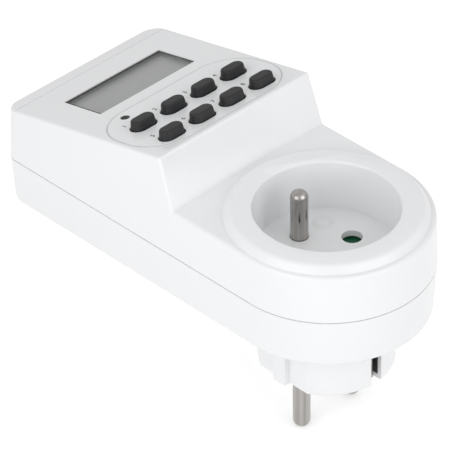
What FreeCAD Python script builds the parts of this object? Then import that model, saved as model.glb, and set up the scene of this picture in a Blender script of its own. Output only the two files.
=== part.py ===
"""Plug-in mains timer switch with a digital display, as separate pieces.

Millimetres. The origin is midway between the plug pins on the face of the plug
boss. +X is to the right, +Y runs from the socket to the display end and +Z
points out of the wall, so the plug pins reach below zero.
"""
import FreeCAD, Part
import Sketcher
import math
import os

Vector = FreeCAD.Vector
doc = FreeCAD.newDocument("plug_in_timer")

SIZES = [
    # plug side, from the common two-pin earthed plug
    ("pin_pitch", 19.0, "distance between the two plug pins"),
    ("pin_radius", 2.4, "radius of every 4.8 mm pin"),
    ("pin_length", 18.8, "plug pin beyond the plug face"),
    ("pin_flange_radius", 3.5, "collar of a plug pin inside the boss"),
    ("earth_offset", 10.0, "earth pin and earth hole from the pin line"),
    ("earth_hole_radius", 2.6, "hole in the plug face for a wall earth pin"),
    ("earth_hole_depth", 14.8, "depth of that hole"),
    ("earth_hole_wall", 1.4, "wall of its well"),
    ("earth_hole_cap", 1.0, "end of its well"),
    ("boss_radius", 18.25, "round plug boss"),
    ("boss_flat", 16.15, "flats of the boss from its axis"),
    ("boss_height", 18.0, "plug face to the back of the housing"),
    ("boss_wall", 2.4, "wall and face of the boss"),
    ("boss_edge", 0.6, "rounding of the plug face"),
    ("rib_half", 2.15, "half width of a guide rib on a flat"),
    ("rib_proud", 1.75, "guide rib beyond its flat"),
    ("groove_half", 1.9, "half width of an earth clip groove"),
    ("groove_deep", 3.0, "depth of a groove at the plug face"),
    ("pocket_deep", 1.2, "room behind an earth clip"),
    ("pocket_low", 1.4, "ledge under that room"),
    ("pocket_wall", 1.1, "wall behind that room"),
    ("clip_half", 1.3, "half width of an earth clip"),
    ("clip_thick", 0.6, "sheet of an earth clip"),
    ("clip_low", 0.2, "lower end of an earth clip"),
    ("clip_lap", 1.2, "clip under the end of the earth bar"),
    ("clip_gap", 0.35, "clearance of a clip in its slot"),
    ("pin_neck", 0.2, "step from a pin to its thinner neck"),
    ("pin_gap", 0.02, "clearance of a pin in its hole"),
    ("pin_tip", 0.92, "rounding of a pin tip as a share of the pin radius"),
    # housing
    ("part_half", 28.5, "half width at the parting line"),
    ("nose_ahead", 0.6, "middle of the round nose ahead of the plug axis"),
    ("back_taper", 0.9, "sides and nose draw in from the parting line to the back"),
    ("back_lean", 0.3, "rear wall draws in from the parting line to the back"),
    ("top_taper", 1.0, "walls draw in from the parting line to the ridge height"),
    ("rear_end", 94.4, "rear wall from the plug axis, at the parting line"),
    ("rear_radius", 5.0, "upright rear corners"),
    ("lower_height", 14.7, "back of the housing to the parting line"),
    ("deck_height", 13.8, "parting line to the deck round the socket"),
    ("ridge_height", 28.2, "parting line to the ridge of the console"),
    ("foot_place", 28.7, "foot of the console's front slope"),
    ("ridge_place", 33.5, "ridge of the console"),
    ("crease_place", 89.4, "fine groove near the rear end of the console"),
    ("crease_wide", 0.3, "that groove"),
    ("crease_deep", 0.3, "that groove"),
    ("tilt", 12.4, "fall of the console face in degrees"),
    ("wall", 2.2, "wall of both covers"),
    ("back_edge", 1.2, "rounding round the back"),
    ("top_edge", 0.7, "rounding of the console edges"),
    ("deck_edge", 1.0, "rounding of the deck's outer edge"),
    ("seam_gap", 0.3, "groove along the parting line"),
    ("seam_deep", 0.8, "depth of that groove"),
    # socket
    ("collar_radius", 25.3, "flat ring round the socket"),
    ("collar_foot", 27.0, "foot of the ring's bevel"),
    ("collar_height", 2.1, "ring above the deck"),
    ("collar_soft", 1.6, "rounding of the ring"),
    ("recess_radius", 19.5, "socket recess"),
    ("recess_depth", 15.0, "socket recess"),
    ("recess_edge", 0.5, "rounding of the recess rim"),
    ("insert_step", 0.6, "step that holds the socket floor down"),
    ("insert_gap", 0.12, "clearance round the socket floor"),
    ("cup_wall", 1.8, "wall of the socket cup"),
    ("floor_thick", 2.0, "socket floor"),
    ("skirt_height", 2.9, "room for the shutter under the socket floor"),
    ("skirt_wall", 2.0, "skirt of the socket floor"),
    ("contact_hole_radius", 2.8, "contact holes in the socket floor"),
    ("earth_pin_length", 14.8, "earth pin above the socket floor"),
    ("earth_pin_step", 0.15, "foot of the full pin above the socket floor"),
    ("carrier_half", 13.0, "half width of the contact carrier block"),
    ("carrier_front", 8.0, "carrier block towards the nose"),
    ("carrier_rear", 5.3, "carrier block towards the console"),
    ("carrier_flange", 1.6, "round top of the carrier"),
    ("sleeve_radius", 3.3, "socket contact sleeve"),
    ("sleeve_wall", 0.75, "sheet of a contact sleeve"),
    ("sleeve_length", 12.0, "contact sleeve"),
    ("sleeve_gap", 0.15, "clearance round a contact sleeve"),
    ("bar_thick", 0.8, "sheet of the bus bars"),
    ("bar_width", 2.2, "width of the bus bars"),
    ("bar_drop", 4.5, "output bars below the top of the contact sleeves"),
    ("bar_gap", 0.2, "clearance of the bars in the carrier"),
    ("bar_lap", 4.0, "bus bars under the power board"),
    ("bar_step", 3.0, "step of an output bar ahead of the power board"),
    ("bar_rise", 0.3, "clearance between a rising supply bar and the carrier"),
    ("branch_inset", 2.4, "output bar from the middle of its sleeve"),
    ("branch_bite", 2.5, "slot of an output bar into the wall of its sleeve well"),
    ("supply_offset", 1.1, "supply bar from the middle of its plug pin"),
    ("supply_foot", 1.0, "supply bar ahead of its plug pin's axis"),
    ("slit_half", 0.4, "half width of the slit in a sleeve"),
    ("slit_low", 3.0, "slit above the foot of a sleeve"),
    ("sleeve_seat", 0.02, "clearance below a contact sleeve"),
    ("earth_bar_level", 17.5, "underside of the earth bar"),
    # shutter
    ("shutter_reach", 12.9, "tip of a shutter blade from the axis"),
    ("shutter_half", 3.4, "half width of a shutter blade"),
    ("shutter_hub", 5.0, "hub of the shutter"),
    ("shutter_thick", 2.1, "shutter"),
    ("shutter_gap", 0.3, "clearance above and below the shutter"),
    ("pivot_radius", 1.5, "shutter pivot"),
    ("pivot_gap", 0.06, "running clearance of the pivot"),
    ("coil_outer", 2.8, "shutter spring"),
    ("coil_inner", 1.9, "shutter spring"),
    ("coil_height", 1.2, "shutter spring"),
    # display
    ("window_side", 11.0, "cover beside the display window, from the half width"),
    ("window_low", 33.9, "near edge of the window from the ridge, along the slope"),
    ("window_high", 48.7, "far edge of the window"),
    ("lens_rim", 1.6, "lens beyond the window on each side"),
    ("lens_top", 0.4, "lens below the console face"),
    ("lens_thick", 1.1, "lens"),
    ("glass_thick", 2.2, "display glass"),
    ("frame_rim", 0.5, "display frame round the glass"),
    ("strip_inset", 1.0, "ends of the contact strip from the ends of the window"),
    ("strip_near", 0.3, "contact strip from the near edge of the window"),
    ("strip_wide", 2.2, "contact strip"),
    ("panel_side", 2.5, "cover beside the key panel, from the half width"),
    ("panel_low", 1.9, "near edge of the key panel"),
    ("panel_high", 29.0, "far edge of the key panel"),
    ("panel_corner", 12.0, "ends of the key panel"),
    ("panel_thick", 1.2, "key panel"),
    ("panel_groove", 0.35, "groove round the key panel"),
    ("panel_proud", 0.15, "key panel above the console face"),
    ("fit_gap", 0.1, "clearance of fixed parts in their seats"),
    # keys
    ("key_pitch", 11.0, "keys along a row"),
    ("key_row_near", 6.7, "near row from the ridge"),
    ("key_row_far", 17.8, "far row from the ridge"),
    ("key_long", 7.0, "key top, along the row"),
    ("key_wide", 3.8, "key top, across the row"),
    ("key_flare", 0.35, "flare of a key towards its foot, each side"),
    ("key_height", 2.5, "key above the panel"),
    ("key_gap", 0.3, "clearance of a key in its hole"),
    ("key_travel", 0.8, "stroke of a key"),
    ("key_flange", 0.8, "collar that keeps a key in"),
    ("key_edge", 0.55, "rounding of a key top"),
    ("key_seat", 0.05, "key above its contact mat at the end of its stroke"),
    ("key_rest", 0.15, "key collar below the cover's inner face"),
    ("reset_along", 26.0, "reset button from the ridge"),
    ("reset_across", 15.7, "reset button from the middle"),
    ("reset_radius", 1.15, "reset button"),
    ("reset_low", 0.05, "top of the reset button below the panel"),
    # boards
    ("board_thick", 1.6, "both circuit boards"),
    ("board_depth", 6.6, "top of the control board below the console face"),
    ("control_side", 3.9, "room beside the control board, from the half width"),
    ("control_low", 4.0, "near edge of the control board"),
    ("control_high", 52.0, "far edge of the control board"),
    ("mat_thick", 1.2, "key contact mat"),
    ("power_side", 4.9, "room beside the power board, from the half width"),
    ("power_near", 30.0, "near edge of the power board"),
    ("power_far", 84.5, "far edge of the power board"),
    ("power_level", 24.7, "underside of the power board"),
    # what the boards carry: left edge from the middle, near edge from the board's near edge
    ("chip_side", 10.0, "square microcontroller"),
    ("chip_along", 12.0, "its near edge"),
    ("chip_high", 1.5, "its height"),
    ("crystal_left", 8.0, "quartz crystal"),
    ("crystal_along", 14.0, "its near edge"),
    ("crystal_wide", 2.2, "its width and height"),
    ("crystal_long", 6.4, "its length"),
    ("relay_left", -17.5, "relay"),
    ("relay_along", 7.0, "its near edge"),
    ("relay_wide", 19.0, "its width"),
    ("relay_long", 15.5, "its length"),
    ("relay_high", 15.3, "its height"),
    ("film_left", 5.0, "film capacitor"),
    ("film_along", 7.0, "its near edge"),
    ("film_wide", 8.5, "its width"),
    ("film_long", 18.0, "its length"),
    ("film_high", 14.5, "its height"),
    ("can_across", 13.0, "middle of the smoothing capacitor"),
    ("can_along", 33.0, "its middle"),
    ("can_radius", 4.0, "its radius"),
    ("can_high", 11.0, "its height"),
    ("cell_across", -9.0, "middle of the backup battery"),
    ("cell_along", 38.0, "its middle"),
    ("cell_radius", 7.8, "its radius"),
    ("cell_high", 6.2, "its height"),
    ("limiter_left", 16.5, "surge limiter"),
    ("limiter_along", 8.0, "its near edge"),
    ("limiter_thick", 3.0, "its thickness"),
    ("limiter_long", 8.0, "its length and height"),
    ("bridge_left", 3.0, "bridge rectifier"),
    ("bridge_along", 28.0, "its near edge"),
    ("bridge_wide", 4.7, "its width"),
    ("bridge_long", 6.4, "its length"),
    ("bridge_high", 2.6, "its height"),
    ("dropper_left", 5.0, "dropper resistor"),
    ("dropper_gap", 3.0, "its near edge behind the smoothing capacitor"),
    ("dropper_long", 10.0, "its length"),
    ("dropper_thick", 3.4, "its width and height"),
    ("case_edge", 0.7, "rounding of component cases"),
    ("ribbon_half", 6.0, "half width of the board ribbon"),
    ("ribbon_thick", 0.6, "board ribbon"),
    ("ribbon_inset", 5.0, "ribbon from the far edge of the control board"),
    ("ribbon_gap", 0.3, "clearance of the ribbon below the control board"),
    # fasteners
    ("screw_radius", 1.3, "screw shank"),
    ("screw_head", 2.7, "screw head"),
    ("head_high", 1.9, "height of a housing screw head"),
    ("drive_reach", 1.6, "arm of a screw's cross recess"),
    ("drive_half", 0.3, "half width of an arm"),
    ("drive_deep", 1.0, "depth of the cross recess"),
    ("screw_bite", 8.0, "housing screw above the parting line"),
    ("pilot_spare", 1.0, "screw hole beyond the screw"),
    ("screw_hole", 0.25, "clearance round shank and head"),
    ("screw_well", 6.0, "depth of a screw well in the back"),
    ("post_radius", 3.6, "screw posts"),
    ("nose_post_side", 5.9, "front screws from the half width"),
    ("nose_post_along", 24.2, "front screws from the plug axis"),
    ("tail_post_side", 7.5, "rear screws from the half width"),
    ("tail_post_along", 88.6, "rear screws from the plug axis"),
    ("small_post", 2.4, "board posts"),
    ("small_screw", 0.95, "board screw shank"),
    ("small_head", 1.9, "board screw head"),
    ("small_head_high", 1.2, "height of a board screw head"),
    ("small_hole", 0.2, "clearance of a board screw in its board"),
    ("thread_fit", 0.02, "clearance of a screw in its post"),
]

sheet = doc.addObject("Spreadsheet::Sheet", "sizes")
for line, (alias, value, meaning) in enumerate(SIZES, start=1):
    sheet.set("A%d" % line, meaning)
    sheet.set("B%d" % line, str(value))
    sheet.setAlias("B%d" % line, alias)
doc.recompute()


class Size:
    """A length together with the sheet formula that it comes from."""

    def __init__(self, value, formula):
        self.value = value
        self.formula = formula

    def __add__(self, other):
        other = size(other)
        return Size(self.value + other.value, "(%s + %s)" % (self.formula, other.formula))

    def __sub__(self, other):
        other = size(other)
        return Size(self.value - other.value, "(%s - %s)" % (self.formula, other.formula))

    def __mul__(self, other):
        other = size(other)
        return Size(self.value * other.value, "(%s * %s)" % (self.formula, other.formula))

    def __truediv__(self, other):
        other = size(other)
        return Size(self.value / other.value, "(%s / %s)" % (self.formula, other.formula))

    def __neg__(self):
        return Size(-self.value, "(-1 * %s)" % self.formula)

    __radd__ = __add__
    __rmul__ = __mul__

    def __rsub__(self, other):
        return size(other) - self


def size(number):
    return number if isinstance(number, Size) else Size(float(number), repr(float(number)))


def tan(angle):
    return Size(math.tan(math.radians(angle.value)), "tan(%s)" % angle.formula)


def cos(angle):
    return Size(math.cos(math.radians(angle.value)), "cos(%s)" % angle.formula)


def atan(ratio):
    return Size(math.degrees(math.atan(ratio.value)), "atan(%s)" % ratio.formula)


class Cells:
    """Reads the sheet: cells.wall is the value and the formula of the cell named wall."""

    def __getattr__(self, alias):
        return Size(float(sheet.get(alias)), "sizes.%s" % alias)


c = Cells()

# levels and places that follow from the driving sizes
back_level = c.boss_height
part_level = back_level + c.lower_height
deck_level = part_level + c.deck_height
collar_level = deck_level + c.collar_height
floor_level = collar_level - c.recess_depth
ridge_level = part_level + c.ridge_height
skirt_level = floor_level - c.floor_thick - c.skirt_height
carrier_level = skirt_level - c.carrier_flange
flange_level = c.boss_wall + c.boss_wall
pin_across = c.pin_pitch / 2
insert_radius = c.recess_radius + c.insert_step
back_floor = back_level + c.wall
crease_along = (c.crease_place - c.ridge_place) / cos(c.tilt)
groove_back = c.boss_radius - c.groove_deep
pocket_back = groove_back - c.pocket_deep
boss_inside = pocket_back - c.pocket_wall
bar_reach = boss_inside - c.clip_gap
beyond = c.wall + c.wall
window_half = c.part_half - c.window_side
panel_half = c.part_half - c.panel_side
control_half = c.part_half - c.control_side
power_half = c.part_half - c.power_side
sleeve_high = carrier_level
sleeve_low = sleeve_high - c.sleeve_length
bar_level = sleeve_high - c.bar_drop


def bind(thing, prop, amount):
    """Sets one property from a size and ties it to the sheet."""
    amount = size(amount)
    thing.setExpression(prop, amount.formula)


def put(thing, x=0, y=0, z=0):
    for axis, amount in zip("xyz", (x, y, z)):
        bind(thing, "Placement.Base.%s" % axis, amount)
    return thing


def turn(thing, axis, angle):
    thing.Placement = FreeCAD.Placement(thing.Placement.Base, FreeCAD.Rotation(axis, angle))
    return thing


def on_console(thing):
    """Lays a piece drawn in console coordinates on the sloping console face."""
    if thing.TypeId in ("Part::Box", "Part::Cylinder"):
        name = thing.Label
        thing.Label = name + "_block"
        carrier = doc.addObject("Part::Compound", name + "_laid")
        carrier.Label = name
        carrier.Links = [thing]
        thing = carrier
    turn(thing, Vector(-1, 0, 0), c.tilt.value)
    bind(thing, "Placement.Rotation.Angle", c.tilt)
    return put(thing, 0, c.ridge_place, ridge_level)


def box(name, low, high):
    """A box between two corners, each a triple of sizes."""
    made = doc.addObject("Part::Box", name)
    for prop, near, far in zip(("Length", "Width", "Height"), low, high):
        bind(made, prop, size(far) - near)
    return put(made, *low)


def rod(name, radius, x, y, low, high):
    """An upright cylinder between two levels."""
    made = doc.addObject("Part::Cylinder", name)
    bind(made, "Radius", radius)
    bind(made, "Height", size(high) - low)
    return put(made, x, y, low)


def fuse(name, *pieces):
    made = doc.addObject("Part::MultiFuse", name)
    made.Shapes = list(pieces)
    made.Refine = True
    return made


def common(name, *pieces):
    made = doc.addObject("Part::MultiCommon", name)
    made.Shapes = list(pieces)
    return made


def cut(name, base, *tools):
    made = doc.addObject("Part::Cut", name)
    made.Base = base
    made.Tool = tools[0] if len(tools) == 1 else fuse(name + "_tools", *tools)
    made.Refine = True
    return made


def round_edges(name, base, radius, wanted, chamfer=False):
    """Rounds the edges of a finished object for which wanted(edge) holds."""
    doc.recompute()
    made = doc.addObject("Part::Chamfer" if chamfer else "Part::Fillet", name)
    made.Base = base
    edges = [number for number, edge in enumerate(base.Shape.Edges, start=1) if wanted(edge)]
    if not edges:
        raise RuntimeError("no edge to round on " + name)
    made.Edges = [(number, radius.value, radius.value) for number in edges]
    return made


def at_level(level, slack=0.02):
    """Tells whether an edge lies wholly at one height."""
    def wanted(edge):
        bounds = edge.BoundBox
        return abs(bounds.ZMin - level.value) < slack and abs(bounds.ZMax - level.value) < slack
    return wanted


def new_body(name):
    return doc.addObject("PartDesign::Body", name)


def new_sketch(body, name, plane, offset):
    made = body.newObject("Sketcher::SketchObject", name)
    support = [part for part in body.Origin.OriginFeatures if part.Role == plane][0]
    made.AttachmentSupport = (support, [""])
    made.MapMode = "FlatFace"
    bind(made, "AttachmentOffset.Base.z", offset)
    return made


def fix_number(made, kind, item, point, amount):
    """Holds one coordinate of a sketch point at a distance from the sketch's origin."""
    if abs(amount.value) < 1e-9:
        axis = -2 if kind == "DistanceX" else -1
        made.addConstraint(Sketcher.Constraint("PointOnObject", item, point, axis))
        return
    if amount.value > 0:
        number = made.addConstraint(Sketcher.Constraint(kind, -1, 1, item, point, amount.value))
    else:
        amount = -amount
        number = made.addConstraint(Sketcher.Constraint(kind, item, point, -1, 1, amount.value))
    made.setExpression("Constraints[%d]" % number, amount.formula)


def fix_size(made, kind, item, amount):
    number = made.addConstraint(Sketcher.Constraint(kind, item, amount.value))
    made.setExpression("Constraints[%d]" % number, amount.formula)


def polygon(body, name, plane, offset, corners):
    """A closed outline of straight lines through corners given as sizes."""
    made = new_sketch(body, name, plane, offset)
    corners = [(size(x), size(y)) for x, y in corners]
    points = [Vector(x.value, y.value, 0) for x, y in corners]
    count = len(points)
    for item in range(count):
        made.addGeometry(Part.LineSegment(points[item], points[(item + 1) % count]))
    for item in range(count):
        made.addConstraint(Sketcher.Constraint("Coincident", item, 2, (item + 1) % count, 1))
    for item, (x, y) in enumerate(corners):
        fix_number(made, "DistanceX", item, 1, x)
        fix_number(made, "DistanceY", item, 1, y)
    return made


def round_bar_outline(body, name, offset, long, wide, x=0, y=0):
    """A bar with half-round ends, long along X."""
    made = new_sketch(body, name, "XY_Plane", offset)
    radius = size(wide) / 2
    reach = size(long) / 2 - radius
    x, y = size(x), size(y)
    up = Vector(0, 0, 1)
    right = Vector(x.value + reach.value, y.value, 0)
    left = Vector(x.value - reach.value, y.value, 0)
    rise = Vector(0, radius.value, 0)
    made.addGeometry(Part.ArcOfCircle(Part.Circle(right, up, radius.value), -math.pi / 2, math.pi / 2))
    made.addGeometry(Part.LineSegment(right + rise, left + rise))
    made.addGeometry(Part.ArcOfCircle(Part.Circle(left, up, radius.value), math.pi / 2, 3 * math.pi / 2))
    made.addGeometry(Part.LineSegment(left - rise, right - rise))
    for item in range(4):
        made.addConstraint(Sketcher.Constraint("Tangent", item, 2, (item + 1) % 4, 1))
    for item in (1, 3):
        made.addConstraint(Sketcher.Constraint("Horizontal", item))
    fix_size(made, "Radius", 0, radius)
    fix_number(made, "DistanceX", 0, 3, x + reach)
    fix_number(made, "DistanceY", 0, 3, y)
    fix_number(made, "DistanceX", 2, 3, x - reach)
    return made


def pad(body, outline, length, taper=None):
    made = body.newObject("PartDesign::Pad", outline.Name + "_pad")
    made.Profile = outline
    bind(made, "Length", length)
    if taper is not None:
        bind(made, "TaperAngle", taper)
    return made


def tapered_plan(name, low, high, half_low, half_high, rear_low, rear_high, shrink):
    """A housing-shaped block: round nose, leaning sides and rear wall, rounded rear corners."""
    half_low, half_high = half_low - shrink, half_high - shrink
    rear_low, rear_high = rear_low - shrink, rear_high - shrink
    tall = high - low
    block = doc.addObject("Part::Wedge", name + "_straight")
    for prop, amount in (("Xmin", -half_low), ("Xmax", half_low),
                         ("X2min", -half_high), ("X2max", half_high),
                         ("Ymin", size(0)), ("Ymax", tall), ("Zmin", -rear_low), ("Z2min", -rear_high),
                         ("Zmax", c.nose_ahead), ("Z2max", c.nose_ahead)):
        bind(block, prop, amount)
    put(turn(block, Vector(1, 0, 0), 90), 0, 0, low)

    def corner(edge):
        bounds = edge.BoundBox
        return bounds.ZLength > 0.99 * tall.value and bounds.YMin > rear_low.value / 2

    straight = round_edges(name + "_cornered", block, c.rear_radius - shrink, corner)
    nose = doc.addObject("Part::Cone", name + "_nose")
    bind(nose, "Radius1", half_low)
    bind(nose, "Radius2", half_high)
    bind(nose, "Height", tall)
    bind(nose, "Angle", size(180))
    put(turn(nose, Vector(0, 0, 1), 180), 0, -c.nose_ahead, low)
    return fuse(name, straight, nose)


def rear_plan(name, low, high, shrink=size(0)):
    """The back cover's outline between two levels, drawing in towards the back."""
    low_part, high_part = (part_level - low) / c.lower_height, (part_level - high) / c.lower_height
    return tapered_plan(name, low, high, c.part_half - c.back_taper * low_part,
                        c.part_half - c.back_taper * high_part, c.rear_end - c.back_lean * low_part,
                        c.rear_end - c.back_lean * high_part, shrink)


def front_plan(name, low, high, shrink=size(0)):
    """The front cover's outline between two levels, drawing in towards the top."""
    draw_low = c.top_taper * (low - part_level) / c.ridge_height
    draw_high = c.top_taper * (high - part_level) / c.ridge_height
    return tapered_plan(name, low, high, c.part_half - draw_low, c.part_half - draw_high,
                        c.rear_end - draw_low, c.rear_end - draw_high, shrink)


def slab(name, corners, thick):
    """An outline in the side view, made as thick as the housing is wide and more."""
    body = new_body(name)
    pad(body, polygon(body, name + "_outline", "YZ_Plane", -size(thick) / 2, corners), thick)
    return body


def above_console(name, depth):
    """All space above a surface that lies at one depth below the deck, the slope and the console."""
    top = ridge_level + c.ridge_height
    far = c.rear_end + c.ridge_height
    sunk = depth / cos(c.tilt)
    turn_place = c.ridge_place + depth
    turn_level = ridge_level - (turn_place - c.ridge_place) * tan(c.tilt) - sunk
    far_level = ridge_level - (far - c.ridge_place) * tan(c.tilt) - sunk
    near = -c.rear_end
    return slab(name, [(near, deck_level - depth), (c.foot_place + depth, deck_level - depth),
                       (turn_place, turn_level), (far, far_level), (far, top), (near, top)],
                4 * c.part_half)


def face_level(place):
    """Height of the console face at a distance from the plug axis."""
    return ridge_level - (place - c.ridge_place) * tan(c.tilt)


def screw_places():
    """The four places of the housing screws."""
    return [(side * across, along)
            for side in (-1, 1)
            for across, along in ((c.part_half - c.nose_post_side, c.nose_post_along),
                                  (c.part_half - c.tail_post_side, c.tail_post_along))]


power_posts = [(side * (power_half - c.small_post), along)
               for side in (-1, 1)
               for along in (c.power_near + c.small_post, c.power_far - c.small_post)]
control_posts = [(side * (control_half - c.small_post), along)
                 for side in (-1, 1)
                 for along in (c.window_low - c.small_post, c.control_high - c.small_post)]
key_places = [("key_%s_%d" % (row, number + 1), (number - 1.5) * c.key_pitch, along)
              for row, along in (("near", c.key_row_near), ("far", c.key_row_far))
              for number in range(4)]


def both_ways(name, half, near, far, low, high):
    """Two equal boxes on the nose side and the console side of the plug axis."""
    return [box(name + "_nose", (-half, -far, low), (half, -near, high)),
            box(name + "_tail", (-half, near, low), (half, far, high))]


def make_boss():
    """The plug boss outside and the room inside it."""
    outer = 2 * c.boss_radius
    boss = common("boss_outside", rod("boss_round", c.boss_radius, 0, 0, 0, back_floor),
                  box("boss_flats", (-c.boss_flat, -outer, 0), (c.boss_flat, outer, back_floor)))
    ribs = box("guide_ribs", (-c.boss_flat - c.rib_proud, -c.rib_half, 0),
               (c.boss_flat + c.rib_proud, c.rib_half, back_floor))
    boss = round_edges("boss_round_face", fuse("boss_ribbed", boss, ribs), c.boss_edge, at_level(size(0)))
    flat = c.boss_flat - c.boss_wall
    room_top = back_floor + c.wall
    room_round = rod("boss_room_round", c.boss_radius - c.boss_wall, 0, 0, c.boss_wall, room_top)
    room_flats = box("boss_room_flats", (-flat, -c.boss_radius, c.boss_wall), (flat, c.boss_radius, room_top))
    groove_walls = both_ways("groove_wall", c.groove_half + c.pocket_wall, boss_inside, c.boss_radius,
                             0, back_floor)
    return boss, cut("boss_hollow", common("boss_room", room_round, room_flats), *groove_walls)


def make_rear_cover():
    """The back half of the housing with the plug boss on it."""
    shell = rear_plan("rear_shell", back_level, part_level)
    shell = round_edges("rear_shell_round", shell, c.back_edge, at_level(back_level))
    wide = 2 * c.part_half
    seam_low = part_level - c.seam_gap
    seam_band = box("seam_band", (-wide, -wide, seam_low), (wide, 2 * c.rear_end, part_level + c.wall))
    seam_core = rear_plan("seam_core", seam_low - c.wall, part_level + beyond, c.seam_deep)
    shell = cut("rear_shell_seam", shell, cut("seam_groove", seam_band, seam_core))
    boss, boss_room = make_boss()
    opened = cut("rear_opened", fuse("rear_outside", shell, boss),
                 rear_plan("rear_hollow", back_floor, part_level, c.wall), boss_room)
    added = [rod("earth_well", c.earth_hole_radius + c.earth_hole_wall, 0, c.earth_offset, c.boss_wall / 2,
                 c.earth_hole_depth + c.earth_hole_cap)]
    holes = [rod("earth_hole", c.earth_hole_radius, 0, c.earth_offset, -c.wall, c.earth_hole_depth)]
    for number, (x, y) in enumerate(screw_places()):
        added.append(rod("rear_post_%d" % number, c.post_radius, x, y, back_level + c.back_edge,
                         part_level - c.fit_gap))
        holes.append(rod("screw_well_%d" % number, c.screw_head + c.screw_hole, x, y,
                         back_level - c.wall, back_level + c.screw_well))
        holes.append(rod("screw_way_%d" % number, c.screw_radius + c.screw_hole, x, y,
                         back_level, part_level + c.wall))
    for number, (x, y) in enumerate(power_posts):
        added.append(rod("power_post_%d" % number, c.small_post, x, y, back_floor - c.wall / 2,
                         c.power_level))
        holes.append(rod("power_pilot_%d" % number, c.small_screw, x, y, back_floor,
                         c.power_level + c.wall))
    for side in (-1, 1):
        holes.append(rod("pin_hole_%d" % (side + 1), c.pin_radius + c.pin_gap, side * pin_across, 0,
                         -c.wall, c.boss_wall + c.wall / 2))
    holes += both_ways("clip_groove", c.groove_half, groove_back, 2 * c.boss_radius, -c.wall, back_level)
    holes += both_ways("clip_pocket", c.groove_half, pocket_back, c.boss_radius, c.pocket_low, back_level)
    holes += both_ways("clip_slot", c.clip_half + c.clip_gap, boss_inside - c.clip_gap, c.boss_radius,
                       c.earth_bar_level - c.clip_thick - c.clip_gap, back_level)
    shell_room = rear_plan("rear_room_block", back_level + c.back_edge, part_level, c.wall / 2)
    well_room = rod("boss_inner_block", c.boss_radius - c.boss_wall / 2, 0, 0, c.boss_wall / 2, back_floor)
    posts = common("rear_posts_inside", fuse("rear_added", *added), fuse("rear_room", shell_room, well_room))
    return cut("rear_cover", fuse("rear_joined", opened, posts), *holes)


def make_front_cover():
    """The front half: deck, socket cup and sloping console."""
    top = ridge_level + beyond
    solid = cut("front_solid", front_plan("front_shell", part_level, top),
                above_console("console_space", size(0)))

    def upper_edge(edge):
        bounds = edge.BoundBox
        above = bounds.ZMin > part_level.value + c.rear_radius.value
        return above and bounds.YMax > c.foot_place.value + c.top_edge.value / 2

    def deck_side(edge):
        return at_level(deck_level)(edge) and edge.BoundBox.YMin < c.foot_place.value / 2

    solid = round_edges("deck_rounded", solid, c.deck_edge, deck_side)
    solid = round_edges("front_rounded", solid, c.top_edge, upper_edge)
    hollow = cut("front_hollow", front_plan("front_hollow_block", part_level - c.wall / 2, top, c.wall),
                 above_console("console_ceiling", c.wall))
    opened = cut("front_opened", solid, hollow)
    collar = doc.addObject("Part::Cone", "socket_collar")
    bind(collar, "Radius1", c.collar_foot)
    bind(collar, "Radius2", c.collar_radius)
    bind(collar, "Height", c.collar_height)
    put(collar, 0, 0, deck_level)
    collar = round_edges("socket_collar_soft", collar, c.collar_soft, at_level(collar_level))
    cup = rod("cup_outside", insert_radius + c.cup_wall, 0, 0, carrier_level + c.carrier_flange / 2,
              deck_level - c.wall / 2)
    holes = [rod("recess", c.recess_radius, 0, 0, floor_level - c.wall / 2, collar_level + c.wall),
             rod("insert_seat", insert_radius, 0, 0, carrier_level - c.wall, floor_level)]
    posts = [rod("front_post_%d" % number, c.post_radius, x, y, part_level + c.fit_gap, ridge_level)
             for number, (x, y) in enumerate(screw_places())]
    pilots = [rod("screw_pilot_%d" % number, c.screw_radius, x, y, part_level - c.wall,
                  part_level + c.screw_bite + c.pilot_spare)
              for number, (x, y) in enumerate(screw_places())]
    small = [rod("control_post_%d" % number, c.small_post, x, y, -c.board_depth, -c.wall / 2)
             for number, (x, y) in enumerate(control_posts)]
    small_pilots = [rod("control_pilot_%d" % number, c.small_screw, x, y, -c.board_depth - c.wall, -c.wall)
                    for number, (x, y) in enumerate(control_posts)]
    inner = common("front_posts_inside", fuse("front_posts", *posts),
                   cut("front_post_room", front_plan("front_post_block", part_level, top, c.wall / 2),
                       above_console("console_skin", c.wall / 2)))
    joined = fuse("front_joined", opened, inner, on_console(fuse("control_posts", *small)), collar, cup)
    crease = box("crease_groove", (-c.part_half, crease_along, -c.crease_deep),
                 (c.part_half, crease_along + c.crease_wide, c.wall))
    rim = cut("front_holed", joined, *(holes + pilots))
    rim = round_edges("front_rim", rim, c.recess_edge, lambda edge: at_level(collar_level)(edge)
                      and abs(edge.BoundBox.XMax - c.recess_radius.value) < 0.05)
    console_tools = console_cuts() + small_pilots + [crease]
    return cut("front_cover", rim, on_console(fuse("console_holes", *console_tools)))


def console_cuts():
    """Window, lens seat, panel seat, key holes and reset hole, in console coordinates."""
    deep = -3 * c.wall
    clear = c.wall / 2
    rim = c.lens_rim + c.fit_gap
    cuts = [box("window_hole", (-window_half, c.window_low, deep), (window_half, c.window_high, clear)),
            box("lens_seat", (-window_half - rim, c.window_low - rim, deep),
                (window_half + rim, c.window_high + rim, -c.lens_top)),
            panel_block("panel_seat", c.panel_groove, -c.panel_thick, clear)]
    for name, across, along in key_places:
        cuts.append(key_prism(name + "_way", across, along, c.key_flare + c.key_gap, deep, clear))
    cuts.append(rod("reset_way", c.reset_radius + c.key_gap / 2, -c.reset_across, c.reset_along, deep, clear))
    return cuts


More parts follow.
